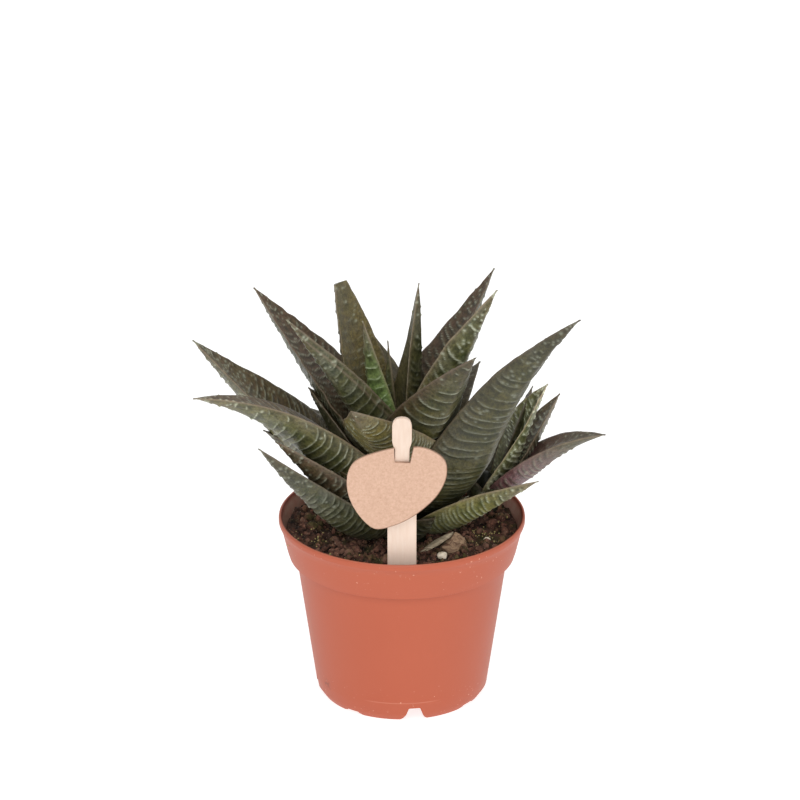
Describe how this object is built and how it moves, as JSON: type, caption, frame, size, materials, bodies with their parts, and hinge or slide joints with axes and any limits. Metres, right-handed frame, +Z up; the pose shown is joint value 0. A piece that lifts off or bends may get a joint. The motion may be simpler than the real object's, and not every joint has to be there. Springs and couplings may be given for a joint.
{
  "type": "potted haworthia",
  "caption": "Small zebra-ridged succulent with an offset, in a tapered plastic nursery pot with a wooden plant stick and a blank label.",
  "frame": {"origin": "middle of the pot's foot, on the surface that the pot stands on", "axes": "+Z up, -Y towards the side where the label faces, +X to the label's right as seen from -Y"},
  "size_m": [0.1495, 0.0964, 0.1612],
  "materials": {
    "pot_plastic": "matte terracotta-coloured moulded plastic",
    "soil": "dark crumbly potting soil",
    "leaf": "waxy dark green leaf with pale ridges",
    "offset_leaf": "waxy green leaf with pale ridges",
    "stick_wood": "pale bare wood",
    "label_kraft": "plain kraft board",
    "bark": "rough bark",
    "perlite": "pale porous grain"
  },
  "bodies": {
    "root": {"pot": "pot_plastic", "soil": "soil", "main_rosette": "leaf", "offset_rosette": "offset_leaf", "label_stick": "stick_wood", "label_plate": "label_kraft", "bark_chip": "bark", "perlite_grain_1": "perlite", "perlite_grain_2": "perlite"}
  },
  "joints": []
}
